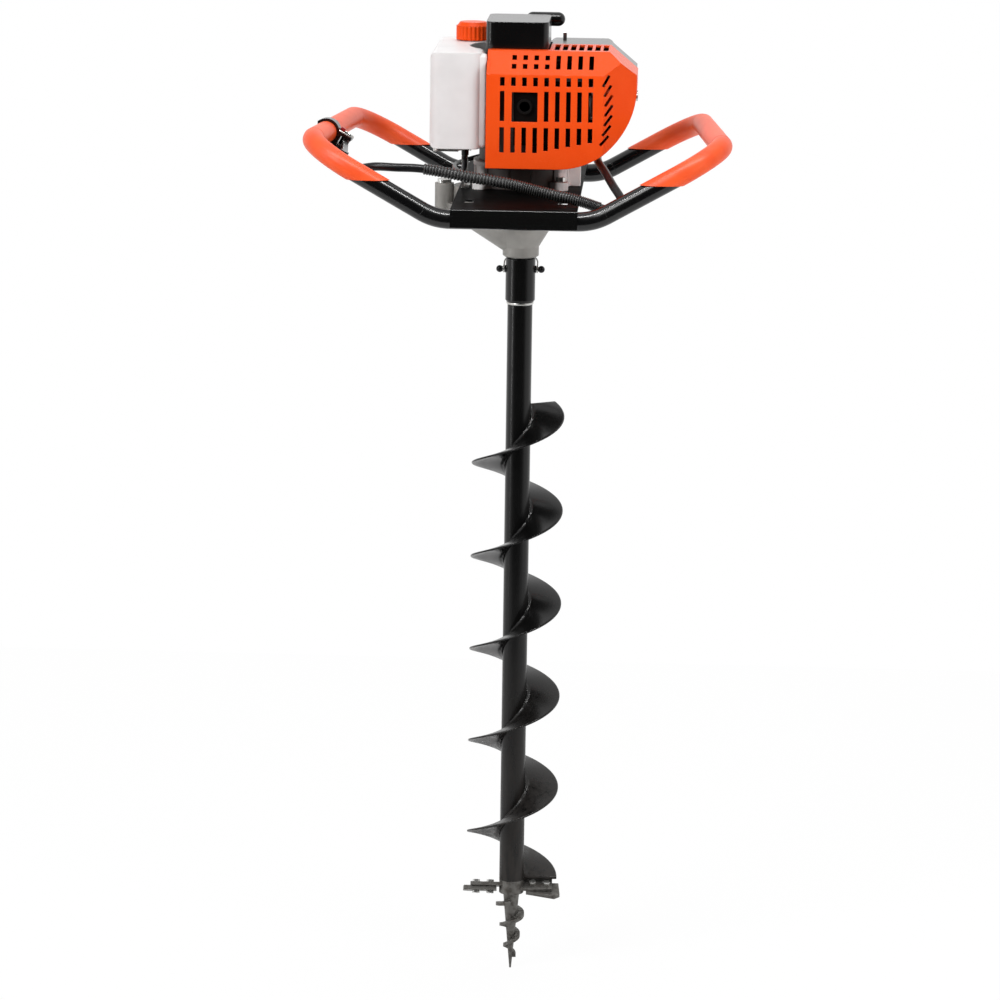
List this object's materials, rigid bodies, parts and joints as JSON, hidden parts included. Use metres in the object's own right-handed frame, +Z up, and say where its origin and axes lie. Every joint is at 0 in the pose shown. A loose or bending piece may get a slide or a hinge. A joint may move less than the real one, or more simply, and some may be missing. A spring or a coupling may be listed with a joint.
{
  "type": "earth auger",
  "caption": "Two-stroke earth auger: slotted engine cowl and tank on a two-hand tube frame, reduction gear case and pinned helical bit.",
  "frame": {"origin": "tip of the point on the bit axis", "axes": "+Z up along the bit axis, +X to the right handle loop, -Y to the side with the slotted cowl"},
  "size_m": [0.4462, 0.406, 1.0585],
  "materials": {
    "black_paint": "gloss black paint",
    "orange_coat": "dipped soft coat",
    "orange_plastic": "moulded gloss",
    "black_plastic": "moulded gloss",
    "cast_alloy": "as cast",
    "dark_alloy": "as cast, dark",
    "steel": "plain",
    "dark_steel": "dark, worn",
    "black_rubber": "plain",
    "tank_plastic": "translucent white",
    "foam": "open foam",
    "red_plastic": "moulded"
  },
  "bodies": {
    "powerhead": {"front_rail": "black_paint", "rear_rail": "black_paint", "left_loop": "black_paint", "right_loop": "black_paint", "base_plate": "black_paint", "muffler": "black_paint", "tank_bracket": "black_paint", "throttle_bracket": "black_paint", "left_grip": "orange_coat", "right_grip": "orange_coat", "engine_cowl": "orange_plastic", "rear_shroud": "black_plastic", "starter_housing": "black_plastic", "filter_base": "black_plastic", "filter_cover": "black_plastic", "cover_knob": "black_plastic", "intake_block": "black_plastic", "ignition_coil": "black_plastic", "gear_case": "cast_alloy", "gear_cover": "cast_alloy", "carburettor": "cast_alloy", "engine_cylinder": "cast_alloy", "clutch_housing": "dark_alloy", "lower_crankcase": "dark_alloy", "upper_crankcase": "dark_alloy", "ball_bearings": "steel", "case_screws": "steel", "oil_plug": "steel", "frame_bolts": "steel", "cowl_screws": "steel", "spark_plug": "steel", "shaft_seal": "black_rubber", "plug_lead": "black_rubber", "tank_pads": "black_rubber", "fuel_hose": "black_rubber", "throttle_cable": "black_rubber", "cable_conduit": "black_rubber", "fuel_tank": "tank_plastic", "filter_element": "foam"},
    "bit_unit": {"output_shaft": "steel", "bit_socket": "black_paint", "bit_tube": "black_paint", "bit_flight": "black_paint", "cutter_head": "dark_steel", "cutter_blades": "dark_steel", "blade_bolts": "steel", "cross_pin": "steel"},
    "bail": {"pin_bail": "steel"},
    "layshaft_unit": {"layshaft": "steel"},
    "drum_unit": {"clutch_drum": "steel"},
    "crank_unit": {"crankshaft": "steel", "flywheel": "dark_alloy", "clutch_shoes": "steel"},
    "handle_unit": {"pull_handle": "black_plastic"},
    "reel_unit": {"starter_reel": "tank_plastic"},
    "lever_unit": {"throttle_lever": "black_paint"},
    "button_unit": {"stop_button": "red_plastic"},
    "choke_unit": {"choke_lever": "steel"},
    "primer_unit": {"primer_bulb": "black_rubber"},
    "cap_unit": {"fuel_cap": "orange_plastic"}
  },
  "joints": [
    {"name": "bit_spin", "type": "hinge", "parent": "powerhead", "child": "bit_unit", "pos_m": [0, 0, 0.8], "axis": [0, 0, 1], "continuous": true},
    {"name": "layshaft_spin", "type": "hinge", "parent": "powerhead", "child": "layshaft_unit", "pos_m": [-0.036, 0, 0.85], "axis": [0, 0, 1], "continuous": true},
    {"name": "drum_spin", "type": "hinge", "parent": "powerhead", "child": "drum_unit", "pos_m": [0, 0, 0.88], "axis": [0, 0, 1], "continuous": true},
    {"name": "crank_spin", "type": "hinge", "parent": "powerhead", "child": "crank_unit", "pos_m": [0, 0, 0.945], "axis": [0, 0, 1], "continuous": true},
    {"name": "starter_pull", "type": "slide", "parent": "powerhead", "child": "handle_unit", "axis": [0, 1, 0], "range_m": [0, 0.075], "stiffness_N_per_m": 20},
    {"name": "reel_spin", "type": "hinge", "parent": "powerhead", "child": "reel_unit", "pos_m": [0, 0, 1.045], "axis": [0, 0, 1], "range_deg": [0, 206]},
    {"name": "throttle_squeeze", "type": "hinge", "parent": "powerhead", "child": "lever_unit", "pos_m": [-0.18721, -0.04664, 0.92681], "axis": [-0.4924, 0, -0.8704], "range_deg": [0, 7], "stiffness_Nm_per_rad": 0.4},
    {"name": "stop_press", "type": "slide", "parent": "powerhead", "child": "button_unit", "axis": [-0.4924, 0, -0.8704], "range_m": [0, 0.003], "stiffness_N_per_m": 300},
    {"name": "choke_turn", "type": "hinge", "parent": "powerhead", "child": "choke_unit", "pos_m": [0.041, 0.0905, 0.999], "axis": [0, 1, 0], "range_deg": [-15, 60]},
    {"name": "primer_press", "type": "slide", "parent": "powerhead", "child": "primer_unit", "axis": [0, 0, 1], "range_m": [0, 0.003], "stiffness_N_per_m": 300},
    {"name": "cap_lift", "type": "slide", "parent": "powerhead", "child": "cap_unit", "axis": [0, 0, 1], "range_m": [0, 0.03]},
    {"name": "bail_swing", "type": "hinge", "parent": "bit_unit", "child": "bail", "pos_m": [0, 0, 0.787], "axis": [1, 0, 0], "range_deg": [-70, 8]}
  ],
  "couplings": [
    {"joint": "layshaft_spin", "follows": "bit_spin", "ratio": -5},
    {"joint": "drum_spin", "follows": "bit_spin", "ratio": 31},
    {"joint": "reel_spin", "follows": "starter_pull", "rad_per_m": 47.619}
  ]
}
